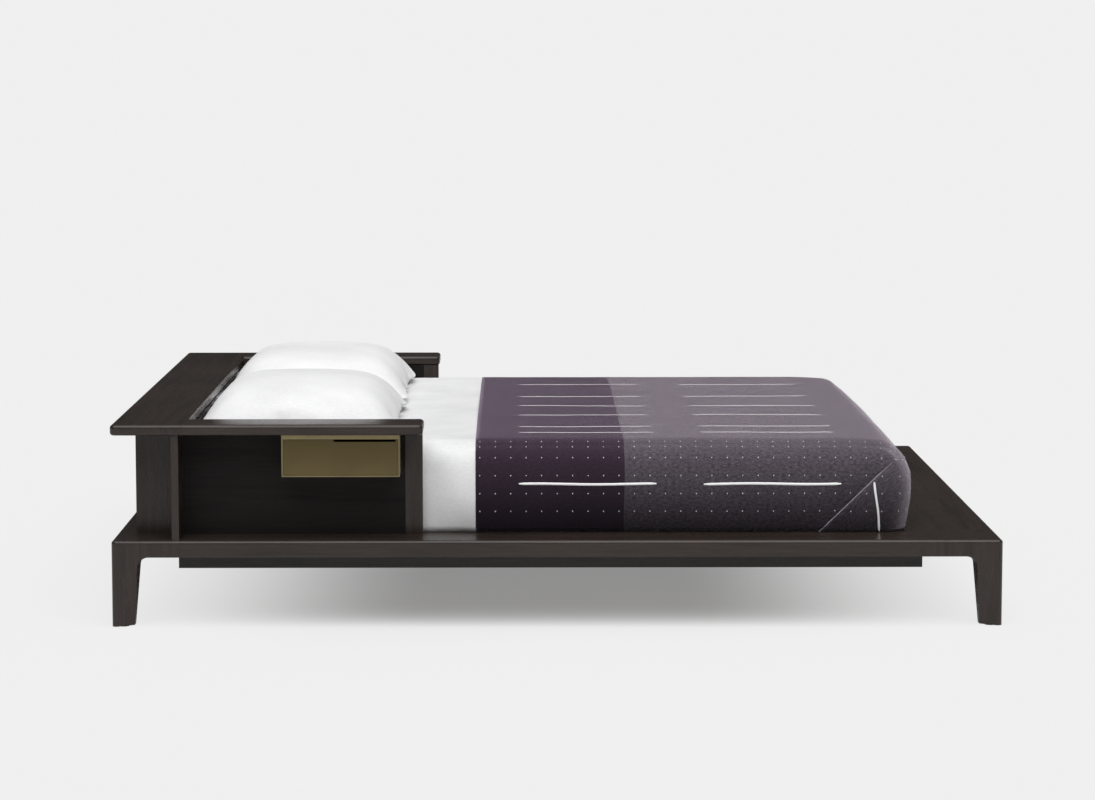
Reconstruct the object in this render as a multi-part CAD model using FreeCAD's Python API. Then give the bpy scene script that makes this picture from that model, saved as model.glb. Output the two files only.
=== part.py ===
import FreeCAD, Part
import math
import os

# Double platform bed: a thick deck on four sculpted corner legs, a U-shaped shelf round the
# head end, a small brass drawer hung under each shelf arm, mattress, linen and pillows.
# Millimetres. Origin on the floor under the middle of the bed, +X to the foot, +Z up,
# -Y is the near side. Most X positions are built up from the head edge.

Vector = FreeCAD.Vector

# ---------------------------------------------------------------- driving sizes
# Mattress and the room left round it
mattress_length = 2000.0
mattress_width = 1800.0
mattress_height = 256.0
mattress_corner_radius = 70.0
mattress_edge_radius = 60.0
mattress_seat = 25.0
head_gap = 8.0
side_margin = 165.0
foot_margin = 268.0

# Deck of thick boards with solid corner blocks
deck_top = 243.0
deck_thickness = 48.0
deck_edge_radius = 9.0
outer_arris_radius = 14.0
corner_head_length = 192.0
corner_foot_length = 238.0

# Legs, one piece with the corner blocks
leg_top_width = 76.0
leg_foot_width = 60.0
leg_toe_back = 30.0
leg_knee_drop = 35.0
leg_fillet_radius = 28.0
glide_thickness = 2.0
glide_radius = 15.0

# U-shaped shelf
ledge_top = 567.0
ledge_thickness = 30.0
ledge_head_width = 204.0
ledge_arm_reach = 866.0
ledge_top_radius = 10.0
ledge_bottom_radius = 8.0
arm_gap = 15.0
panel_thickness = 20.0

# Box under the head shelf
head_box_recess = 53.0
head_box_inset = 160.0
head_rib_spacing = 600.0

# Fins and end posts that carry the arms
fin_setback = 16.0
fin_front_inset = 10.0
post_width = 53.0
post_proud = 4.0

# Brass drawers
drawer_width = 328.0
drawer_height = 117.0
drawer_end_margin = 64.0
drawer_front_inset = 12.0
sheet_metal = 2.0
housing_rim = 4.0
housing_top_rim = 12.0
housing_rim_depth = 6.0
drawer_gap = 1.0
drawer_back_gap = 0.3
tray_side_height = 92.0
tray_back_height = 101.0
finger_notch_height = 6.0
finger_notch_width = 172.0
finger_notch_margin = 6.0
stop_radius = 3.0
stop_from_front = 26.0
stop_length = 13.0
glide_strip_width = 10.0
glide_strip_inset = 30.0
glide_strip_clearance = 0.1

# Underframe
underframe_height = 54.0
underframe_rail_thickness = 30.0
underframe_side_inset = 160.0
underframe_head_inset = 171.0
underframe_foot_inset = 205.0
centre_beam_width = 40.0
cross_rail_count = 3

# Slats
slat_count = 10
slat_width = 130.0
slat_thickness = 20.0
slat_end_gap = 3.0
ledger_width = 28.0

# Linen
linen_gap = 0.5
fitted_sheet_thickness = 2.0
blanket_thickness = 6.5
blanket_start = 1010.0
pillow_depth = 576.0
pillow_height = 145.0
pillow_margin = 15.0
pillow_head_gap = 4.0
pillow_edge_radius = 60.0
rest_gap = 0.3

# Fasteners
drill_clearance = 0.1
dowel_radius = 4.0
dowel_length = 40.0
bolt_radius = 4.0
bolt_head_radius = 8.0
bolt_head_height = 6.0
bolt_counterbore_radius = 9.0
bolt_counterbore_depth = 8.0
bolt_bite = 30.0
plate_length = 100.0
plate_width = 60.0
plate_thickness = 3.0
plate_edge_inset = 60.0
screw_radius = 2.0
screw_head_radius = 4.0
screw_head_height = 2.6
plate_screw_bite = 22.0
housing_screw_bite = 16.0
screw_inset = 15.0

# ---------------------------------------------------------------- derived places
bed_length = ledge_head_width + head_gap + mattress_length + foot_margin
bed_width = mattress_width + 2 * side_margin
x_head = -bed_length / 2
x_foot = bed_length / 2
y_side = bed_width / 2

deck_bottom = deck_top - deck_thickness
mattress_head = x_head + ledge_head_width + head_gap
mattress_foot = mattress_head + mattress_length
mattress_half = mattress_width / 2
mattress_bottom = deck_top + rest_gap
mattress_top = mattress_bottom + mattress_height
side_board_width = side_margin + mattress_seat
board_inner_y = y_side - side_board_width
board_inner_head = mattress_head + mattress_seat
board_inner_foot = mattress_foot - mattress_seat

ledge_bottom = ledge_top - ledge_thickness
ledge_arm_width = side_margin - arm_gap
ledge_inner_x = x_head + ledge_head_width
ledge_inner_y = y_side - ledge_arm_width
arm_end = x_head + ledge_arm_reach
wall_face_y = ledge_inner_y + panel_thickness
fin_face = ledge_inner_x - fin_setback
head_box_face = x_head + head_box_recess
head_box_end = y_side - head_box_inset

underframe_bottom = deck_bottom - underframe_height
slat_bottom = deck_top - slat_thickness

housing_end = arm_end - drawer_end_margin
housing_start = housing_end - drawer_width
housing_front = -(y_side - drawer_front_inset)
housing_back = -wall_face_y
housing_floor = ledge_bottom - drawer_height
tray_start = housing_start + housing_rim + drawer_gap
tray_end = housing_end - housing_rim - drawer_gap
tray_floor = housing_floor + housing_rim + drawer_gap
tray_top = ledge_bottom - housing_top_rim - drawer_gap
tray_back = housing_back - sheet_metal - drawer_back_gap

pieces = {}


# ---------------------------------------------------------------- helpers
def box(x0, x1, y0, y1, z0, z1):
    """Box between two corners."""
    return Part.makeBox(x1 - x0, y1 - y0, z1 - z0, Vector(x0, y0, z0))


def rod(x, y, z0, z1, radius):
    """Upright cylinder from z0 to z1."""
    return Part.makeCylinder(radius, z1 - z0, Vector(x, y, z0))


def near(a, b):
    """Whether two coordinates are the same place."""
    return abs(a - b) < 0.01


def round_edges(shape, radius, wanted):
    """Fillet the edges whose middle point passes the test."""
    return shape.makeFillet(radius, [e for e in shape.Edges if wanted(e.CenterOfMass)])


def mirror_y(shape):
    """The same shape on the other side of the bed."""
    return shape.mirror(Vector(0, 0, 0), Vector(0, 1, 0))


def mirror_x(shape):
    """The same shape turned end for end."""
    return shape.mirror(Vector(0, 0, 0), Vector(1, 0, 0))


def add_pair(name, shape):
    """Store a near-side piece and its twin on the far side."""
    pieces[name + "_near"] = shape
    pieces[name + "_far"] = mirror_y(shape)


def spread(start, end, count):
    """Evenly spaced places between two limits, with a half step at each end."""
    step = (end - start) / count
    return [start + step * (i + 0.5) for i in range(count)]


def drill(holes):
    """Cut a list of holes out of every piece that they pass through."""
    for name, shape in pieces.items():
        hits = [h for h in holes if h.BoundBox.intersect(shape.BoundBox)]
        if hits:
            pieces[name] = shape.cut(hits)


# ---------------------------------------------------------------- corner blocks with legs
def corner_outline():
    """Knee height, leg width there, and the arc from leg to deck, as (along, height) points."""
    knee = deck_bottom - leg_knee_drop
    slope = (leg_top_width - leg_foot_width) / (deck_bottom - glide_thickness)
    lean = math.atan(slope)
    centre_v = deck_bottom - leg_fillet_radius
    side_u = leg_top_width - slope * leg_fillet_radius
    centre_u = side_u + leg_fillet_radius / math.cos(lean)
    start = (centre_u - leg_fillet_radius * math.cos(lean),
             centre_v + leg_fillet_radius * math.sin(lean))
    turn = (math.pi - lean + math.pi / 2) / 2
    middle = (centre_u + leg_fillet_radius * math.cos(turn),
              centre_v + leg_fillet_radius * math.sin(turn))
    end = (centre_u, deck_bottom)
    foot = leg_top_width - slope * leg_knee_drop
    return knee, foot, start, middle, end


def corner_prism(reach, depth, along_x):
    """Deck end and leg seen square on, pushed through the block's depth."""
    knee, foot, start, middle, end = corner_outline()

    def place(u, v):
        return Vector(u, 0, v) if along_x else Vector(0, u, v)

    corners = [place(0, knee), place(foot, knee), place(*start)]
    run = [place(*end), place(reach, deck_bottom), place(reach, deck_top),
           place(0, deck_top), place(0, knee)]
    edges = [Part.LineSegment(a, b).toShape() for a, b in zip(corners, corners[1:])]
    edges.append(Part.Arc(place(*start), place(*middle), place(*end)).toShape())
    edges += [Part.LineSegment(a, b).toShape() for a, b in zip(run, run[1:])]
    push = Vector(0, depth, 0) if along_x else Vector(depth, 0, 0)
    return Part.Face(Part.Wire(edges)).extrude(push)


def leg_section(z, width, toe):
    """Leg section: rounded outer arris, and front corners drawn back by the toe."""
    a = outer_arris_radius
    bow = a * (1 - math.sqrt(0.5))
    points = [Vector(a, 0, z), Vector(width, toe, z), Vector(width, width, z),
              Vector(toe, width, z), Vector(0, a, z)]
    edges = [Part.LineSegment(p, q).toShape() for p, q in zip(points, points[1:])]
    edges.append(Part.Arc(Vector(0, a, z), Vector(bow, bow, z), Vector(a, 0, z)).toShape())
    return Part.Wire(edges)


def corner_block(length):
    """Corner of the deck with its leg, the outer corner at the local origin."""
    knee, foot = corner_outline()[:2]
    plan = box(0, length, 0, side_board_width, knee, deck_top)
    plan = round_edges(plan, outer_arris_radius, lambda c: near(c.x, 0) and near(c.y, 0))
    upper = corner_prism(length, side_board_width, True)
    upper = upper.common(corner_prism(side_board_width, length, False)).common(plan)
    lower = Part.makeLoft([leg_section(glide_thickness, leg_foot_width, leg_toe_back),
                           leg_section(knee, foot, 0.0)], True, True)
    block = upper.fuse(lower).removeSplitter()
    corner = outer_arris_radius
    block = round_edges(block, deck_edge_radius,
                        lambda c: near(c.z, deck_top) and (c.x < corner or c.y < corner))
    return round_edges(block, deck_edge_radius,
                       lambda c: near(c.z, deck_bottom) and (near(c.x, 0) or near(c.y, 0)))


def add_corner_legs():
    """Four corner blocks with legs, and the glides under them."""
    head = corner_block(corner_head_length)
    head.translate(Vector(x_head, -y_side, 0))
    foot = mirror_x(corner_block(corner_foot_length))
    foot.translate(Vector(x_foot, -y_side, 0))
    add_pair("corner_leg_head", head)
    add_pair("corner_leg_foot", foot)
    reach = leg_foot_width / 2
    glides = [rod(sx * (x_foot - reach), sy * (y_side - reach), 0, glide_thickness, glide_radius)
              for sx in (-1, 1) for sy in (-1, 1)]
    pieces["leg_glides"] = Part.makeCompound(glides)


# ---------------------------------------------------------------- deck
def add_deck():
    """Side, head and foot boards between the corner blocks."""
    start = x_head + corner_head_length
    end = x_foot - corner_foot_length
    side = box(start, end, -y_side, -board_inner_y, deck_bottom, deck_top)
    side = round_edges(side, deck_edge_radius,
                       lambda c: near(c.y, -y_side) and not near(c.z, (deck_top + deck_bottom) / 2))
    add_pair("side_board", side)
    for name, outer, inner in (("head_board", x_head, board_inner_head),
                               ("foot_board", x_foot, board_inner_foot)):
        board = box(min(outer, inner), max(outer, inner), -board_inner_y, board_inner_y,
                    deck_bottom, deck_top)
        pieces[name] = round_edges(
            board, deck_edge_radius,
            lambda c: near(c.x, outer) and not near(c.z, (deck_top + deck_bottom) / 2))


# ---------------------------------------------------------------- underframe and slats
def add_underframe():
    """Rails under the deck, centre beam and cross rails."""
    outer = y_side - underframe_side_inset
    inner = outer - underframe_rail_thickness
    start = x_head + underframe_head_inset
    end = x_foot - underframe_foot_inset
    z0, z1 = underframe_bottom, deck_bottom
    add_pair("underframe_rail", box(start, end, -outer, -inner, z0, z1))
    thick = underframe_rail_thickness
    pieces["underframe_rail_head"] = box(start, start + thick, -inner, inner, z0, z1)
    pieces["underframe_rail_foot"] = box(end - thick, end, -inner, inner, z0, z1)
    half = centre_beam_width / 2
    pieces["centre_beam"] = box(start + thick, end - thick, -half, half, z0, z1)
    pieces["centre_packer"] = box(board_inner_head, board_inner_foot, -half, half, z1, slat_bottom)
    rails = []
    for x in spread(start, end, cross_rail_count):
        for y0, y1 in ((-inner, -half), (half, inner)):
            rails.append(box(x - thick / 2, x + thick / 2, y0, y1, z0, z1))
    pieces["cross_rails"] = Part.makeCompound(rails)


def add_slats():
    """Ledgers on the side boards, and the slats that lie on them."""
    add_pair("slat_ledger", box(board_inner_head, board_inner_foot, -board_inner_y,
                                -board_inner_y + ledger_width, deck_bottom, slat_bottom))
    half = board_inner_y - slat_end_gap
    for i, x in enumerate(spread(board_inner_head, board_inner_foot, slat_count)):
        pieces["slat_%02d" % (i + 1)] = box(x - slat_width / 2, x + slat_width / 2, -half, half,
                                            slat_bottom, deck_top)


# ---------------------------------------------------------------- U-shaped shelf
def eased_groove(x0, x1, y0, y1, z0, z1, axis_at, direction, radius):
    """What a rounding takes off one long edge: a square bar less the round that stays."""
    bar = box(x0, x1, y0, y1, z0, z1)
    span = bar.BoundBox.DiagonalLength
    return bar.cut(Part.makeCylinder(radius, span * 2, axis_at - direction * span / 2, direction))


def add_ledge():
    """Head shelf and its two arms, with rounded edges."""
    head = box(x_head, ledge_inner_x, -y_side, y_side, ledge_bottom, ledge_top)
    head = round_edges(head, outer_arris_radius,
                       lambda c: near(c.x, x_head) and near(abs(c.y), y_side))
    head = round_edges(head, ledge_top_radius,
                       lambda c: near(c.z, ledge_top) and not near(c.x, ledge_inner_x))
    head = round_edges(head, ledge_bottom_radius,
                       lambda c: near(c.z, ledge_bottom) and not near(c.x, ledge_inner_x))
    y_end = ledge_inner_y
    for edge_z, inner_z, ease in ((ledge_top, ledge_top - ledge_top_radius, ledge_top_radius),
                                  (ledge_bottom, ledge_bottom + ledge_bottom_radius,
                                   ledge_bottom_radius)):
        groove = eased_groove(ledge_inner_x - ease, ledge_inner_x, -y_end, y_end,
                              min(edge_z, inner_z), max(edge_z, inner_z),
                              Vector(ledge_inner_x - ease, -y_end, inner_z), Vector(0, 1, 0), ease)
        head = head.cut(groove)
    pieces["ledge_head"] = head

    arm = box(ledge_inner_x, arm_end, -y_side, -ledge_inner_y, ledge_bottom, ledge_top)
    arm = round_edges(arm, outer_arris_radius, lambda c: near(c.x, arm_end) and
                      not near(c.z, ledge_top) and not near(c.z, ledge_bottom))
    arm = round_edges(arm, ledge_top_radius,
                      lambda c: near(c.z, ledge_top) and not near(c.x, ledge_inner_x))
    arm = round_edges(arm, ledge_bottom_radius,
                      lambda c: near(c.z, ledge_bottom) and not near(c.x, ledge_inner_x))
    add_pair("ledge_arm", arm)


def add_shelf_supports():
    """Walls, end posts and fins under the arms, and the box under the head shelf."""
    z0, z1 = deck_top, ledge_bottom
    post_start = arm_end - post_width
    add_pair("arm_wall", box(fin_face, post_start, -wall_face_y, -ledge_inner_y, z0, z1))
    add_pair("arm_post", box(post_start, arm_end - post_proud, -wall_face_y - post_proud,
                             -ledge_inner_y, z0, z1))
    add_pair("arm_fin", box(fin_face - panel_thickness, fin_face, -(y_side - fin_front_inset),
                            -head_box_end, z0, z1))
    inner = head_box_end - panel_thickness
    add_pair("head_end_panel", box(head_box_face, ledge_inner_x, -head_box_end, -inner, z0, z1))
    pieces["head_outer_panel"] = box(head_box_face, head_box_face + panel_thickness,
                                     -inner, inner, z0, z1)
    pieces["head_inner_panel"] = box(ledge_inner_x - panel_thickness, ledge_inner_x,
                                     -inner, inner, z0, z1)
    ribs = [box(head_box_face + panel_thickness, ledge_inner_x - panel_thickness,
                y - panel_thickness / 2, y + panel_thickness / 2, z0, z1)
            for y in (-head_rib_spacing / 2, head_rib_spacing / 2)]
    pieces["head_ribs"] = Part.makeCompound(ribs)


# ---------------------------------------------------------------- brass drawers
def housing():
    """Folded sleeve under the near arm: open front with a thicker rim, closed back."""
    t = sheet_metal
    shell = box(housing_start, housing_end, housing_front, housing_back, housing_floor, ledge_bottom)
    hollow = box(housing_start + t, housing_end - t, housing_front + housing_rim_depth,
                 housing_back - t, housing_floor + t, ledge_bottom - t)
    rim = housing_rim
    mouth = box(housing_start + rim, housing_end - rim, housing_front - 1,
                housing_front + housing_rim_depth + 1, housing_floor + rim,
                ledge_bottom - housing_top_rim)
    return shell.cut([hollow, mouth])


def tray():
    """Drawer box behind the front: floor, two sides and a taller back."""
    t = sheet_metal
    y0 = housing_front + t
    outer = box(tray_start, tray_end, y0, tray_back, tray_floor, tray_floor + tray_back_height)
    hollow = box(tray_start + t, tray_end - t, y0 - 1, tray_back - t, tray_floor + t,
                 tray_floor + tray_back_height + 1)
    low_sides = box(tray_start - 1, tray_end + 1, y0 - 1, tray_back - t,
                    tray_floor + tray_side_height, tray_floor + tray_back_height + 1)
    return outer.cut([hollow, low_sides])


def drawer_front():
    """Flat brass front with a finger notch in the foot-end half of its top edge."""
    plate = box(tray_start, tray_end, housing_front, housing_front + sheet_metal, tray_floor, tray_top)
    notch_end = tray_end - finger_notch_margin
    notch = box(notch_end - finger_notch_width, notch_end, housing_front - 1,
                housing_front + sheet_metal + 1, tray_top - finger_notch_height, tray_top + 1)
    return plate.cut(notch)


def add_drawers():
    """Housing, tray, front, glide strips and stop peg on each side."""
    add_pair("drawer_housing", housing())
    add_pair("drawer_tray", tray())
    add_pair("drawer_front", drawer_front())
    floor = housing_floor + sheet_metal
    strips = []
    for x in (tray_start + glide_strip_inset, tray_end - glide_strip_inset):
        strips.append(box(x - glide_strip_width / 2, x + glide_strip_width / 2,
                          housing_front + housing_rim_depth, housing_back - sheet_metal,
                          floor, tray_floor - glide_strip_clearance))
    pieces["drawer_glides"] = Part.makeCompound(strips + [mirror_y(s) for s in strips])
    ceiling = ledge_bottom - sheet_metal
    peg = rod((tray_start + tray_end) / 2, housing_front + stop_from_front,
              ceiling - stop_length, ceiling, stop_radius)
    pieces["drawer_stops"] = Part.makeCompound([peg, mirror_y(peg)])


# ---------------------------------------------------------------- soft goods
def soft_block(x0, x1, y0, y1, z0, z1, corner, edge):
    """Block with rounded upright corners and a rounded top edge."""
    block = box(x0, x1, y0, y1, z0, z1)
    block = round_edges(block, corner, lambda c: near(c.z, (z0 + z1) / 2))
    return round_edges(block, edge, lambda c: near(c.z, z1))


def mattress_block(grow, floor):
    """The mattress grown by a distance on its top and sides, down to a given height."""
    return soft_block(mattress_head - grow, mattress_foot + grow,
                      -mattress_half - grow, mattress_half + grow, floor, mattress_top + grow,
                      mattress_corner_radius + grow, mattress_edge_radius + grow)


def linen_shell(inside, thickness):
    """A covering of even thickness that starts a given distance off the mattress."""
    outer = mattress_block(inside + thickness, mattress_bottom + rest_gap)
    inner = mattress_block(inside, mattress_bottom - thickness)
    return outer.cut(inner)


def add_soft_goods():
    """Mattress, fitted sheet, blanket over the foot half, and two pillows."""
    pieces["mattress"] = mattress_block(0.0, mattress_bottom)
    pieces["fitted_sheet"] = linen_shell(linen_gap, fitted_sheet_thickness)
    blanket_inside = linen_gap + fitted_sheet_thickness + linen_gap
    blanket = linen_shell(blanket_inside, blanket_thickness)
    reach = blanket.BoundBox
    cover = box(x_head + blanket_start, reach.XMax + 1, reach.YMin - 1, reach.YMax + 1,
                reach.ZMin - 1, reach.ZMax + 1)
    pieces["blanket"] = blanket.common(cover)
    floor = mattress_top + linen_gap + fitted_sheet_thickness + rest_gap
    pillow = box(mattress_head + pillow_head_gap, mattress_head + pillow_head_gap + pillow_depth,
                 -mattress_half + pillow_margin, -pillow_margin, floor, floor + pillow_height)
    pillow = pillow.makeFillet(pillow_edge_radius, pillow.Edges)
    add_pair("pillow", pillow)


# ---------------------------------------------------------------- fasteners
def add_dowels():
    """Dowels that tie the walls, posts, fins and head box to the deck and the shelf."""
    middle = panel_thickness / 2
    wall_y = ledge_inner_y + middle
    post_x = arm_end - post_width / 2
    fin_x = fin_face - middle
    places = [(x, wall_y) for x in spread(fin_face, arm_end - post_width, 3)]
    places += [(post_x, wall_y), (fin_x, (wall_y + y_side) / 2)]
    inner = head_box_end - panel_thickness
    for x in (head_box_face + middle, ledge_inner_x - middle):
        places += [(x, y) for y in spread(-inner, inner, 4) if y > 0]
    places = [(x, sy * y) for x, y in places for sy in (-1, 1)]
    dowels = []
    holes = []
    for x, y in places:
        for joint in (deck_top, ledge_bottom):
            z0 = joint - dowel_length / 2
            z1 = joint + dowel_length / 2
            holes.append(rod(x, y, z0, z1, dowel_radius + drill_clearance))
            dowels.append(rod(x, y, z0, z1, dowel_radius))
    drill(holes)
    pieces["panel_dowels"] = Part.makeCompound(dowels)


def add_bolts():
    """Bolts up through the underframe rails into the deck boards."""
    middle = underframe_rail_thickness / 2
    start = x_head + underframe_head_inset
    end = x_foot - underframe_foot_inset
    side_y = y_side - underframe_side_inset - middle
    places = [(x, sy * side_y) for x in spread(start, end, 5) for sy in (-1, 1)]
    half = board_inner_y / 2
    places += [(x, sy * half) for x in (start + middle, end - middle) for sy in (-1, 1)]
    seat = underframe_bottom + bolt_counterbore_depth
    tip = deck_bottom + bolt_bite
    bolts = []
    holes = []
    for x, y in places:
        holes.append(rod(x, y, underframe_bottom - 1, seat, bolt_counterbore_radius))
        holes.append(rod(x, y, underframe_bottom, tip, bolt_radius + drill_clearance))
        shank = rod(x, y, seat, tip, bolt_radius)
        bolts.append(shank.fuse(rod(x, y, seat - bolt_head_height, seat, bolt_head_radius)))
    drill(holes)
    pieces["underframe_bolts"] = Part.makeCompound(bolts)


def screw(x, y, seat, bite):
    """Pan-head screw driven upwards: head under the seat, shank above it."""
    shank = rod(x, y, seat, seat + bite, screw_radius)
    return shank.fuse(rod(x, y, seat - screw_head_height, seat, screw_head_radius))


def add_joint_plates():
    """Steel plates under the eight deck joints, each with four screws."""
    z0 = deck_bottom - plate_thickness
    seam_head = x_head + corner_head_length
    seam_foot = x_foot - corner_foot_length
    middle = plate_edge_inset + plate_width / 2
    places = []
    for x in (seam_head, seam_foot):
        places.append((x, y_side - middle, plate_length / 2, plate_width / 2))
    for x in (x_head + middle, x_foot - middle):
        places.append((x, board_inner_y, plate_width / 2, plate_length / 2))
    plates = []
    screws = []
    holes = []
    for x, y, dx, dy in places:
        for sy in (-1, 1):
            plates.append(box(x - dx, x + dx, sy * y - dy, sy * y + dy, z0, deck_bottom))
            for ux in (-1, 1):
                for uy in (-1, 1):
                    px = x + ux * (dx - screw_inset)
                    py = sy * y + uy * (dy - screw_inset)
                    screws.append(screw(px, py, z0, plate_screw_bite))
                    holes.append(rod(px, py, z0 - 1, z0 + plate_screw_bite,
                                     screw_radius + drill_clearance))
    pieces["joint_plates"] = Part.makeCompound(plates)
    drill(holes)
    pieces["plate_screws"] = Part.makeCompound(screws)


def add_housing_screws():
    """Screws through each drawer housing's roof into the shelf arm."""
    seat = ledge_bottom - sheet_metal
    screws = []
    holes = []
    for x in (housing_start + 2 * screw_inset, housing_end - 2 * screw_inset):
        for y in (housing_front + 3 * screw_inset, housing_back - screw_inset):
            for sy in (-1, 1):
                screws.append(screw(x, sy * y, seat, housing_screw_bite))
                holes.append(rod(x, sy * y, seat - 1, seat + housing_screw_bite,
                                 screw_radius + drill_clearance))
    drill(holes)
    pieces["housing_screws"] = Part.makeCompound(screws)


# ---------------------------------------------------------------- build and write
add_corner_legs()
add_deck()
add_underframe()
add_slats()
add_ledge()
add_shelf_supports()
add_drawers()
add_soft_goods()
add_dowels()
add_bolts()
add_joint_plates()
add_housing_screws()

os.makedirs("parts", exist_ok=True)
for name, shape in pieces.items():
    if not shape.isValid():
        raise ValueError(name + " is not a valid shape")
    shape.exportStep("parts/" + name + ".step")
    print(name, len(shape.Solids), round(shape.Volume / 1000.0, 1))
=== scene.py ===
"""A low double platform bed: dark boards, brass drawers, and made-up linen.

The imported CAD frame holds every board, leg, drawer and fastener. This script dresses them,
makes the soft goods in place of their plain solids, and sets up a plain pale studio.
"""

import logging
import math
from dataclasses import dataclass, field
from enum import Enum
from typing import List, Optional, Sequence, Tuple

import bmesh
import bpy
from mathutils import Euler, Matrix, Vector, noise


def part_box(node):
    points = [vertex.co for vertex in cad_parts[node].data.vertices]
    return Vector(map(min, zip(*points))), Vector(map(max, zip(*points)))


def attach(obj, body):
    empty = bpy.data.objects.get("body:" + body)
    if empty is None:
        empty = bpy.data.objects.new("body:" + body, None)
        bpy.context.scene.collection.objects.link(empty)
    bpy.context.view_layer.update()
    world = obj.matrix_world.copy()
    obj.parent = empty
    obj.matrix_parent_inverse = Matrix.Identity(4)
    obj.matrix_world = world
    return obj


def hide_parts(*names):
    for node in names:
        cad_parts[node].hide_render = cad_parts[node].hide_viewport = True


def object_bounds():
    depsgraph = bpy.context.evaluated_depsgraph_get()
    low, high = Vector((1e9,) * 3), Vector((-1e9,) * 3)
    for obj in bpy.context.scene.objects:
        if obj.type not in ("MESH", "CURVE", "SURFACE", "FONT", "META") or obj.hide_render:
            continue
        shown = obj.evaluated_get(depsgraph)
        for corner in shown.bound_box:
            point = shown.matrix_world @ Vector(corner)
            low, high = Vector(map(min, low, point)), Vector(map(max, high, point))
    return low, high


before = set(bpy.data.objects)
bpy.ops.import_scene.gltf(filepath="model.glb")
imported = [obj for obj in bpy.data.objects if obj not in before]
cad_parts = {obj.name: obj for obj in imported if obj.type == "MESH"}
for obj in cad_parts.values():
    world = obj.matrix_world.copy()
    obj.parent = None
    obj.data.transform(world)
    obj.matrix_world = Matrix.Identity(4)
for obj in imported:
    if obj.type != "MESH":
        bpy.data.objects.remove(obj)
CAD_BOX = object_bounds()

logging.basicConfig(level=logging.INFO, format="%(message)s")
LOG = logging.getLogger("bed")

Pair = Tuple[float, float]
Triple = Tuple[float, float, float]
Names = Tuple[str, ...]
Socket = bpy.types.NodeSocket
Material = bpy.types.Material
Piece = bpy.types.Object
Mesh = bmesh.types.BMesh

BODY = "frame"
TINY = 1e-6
PLAIN = (1.0, 1.0, 1.0)
UP = Vector((0, 0, 1))
ALONG = Vector((1, 0, 0))
SIDEWAYS = Vector((0, 1, 0))


def clamp(value: float) -> float:
    """A value held between 0 and 1."""
    return min(max(value, 0.0), 1.0)


class Grain(Enum):
    """Which way the grain of a board runs."""

    ALONG_X = 0
    ALONG_Y = 1
    ALONG_Z = 2


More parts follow.
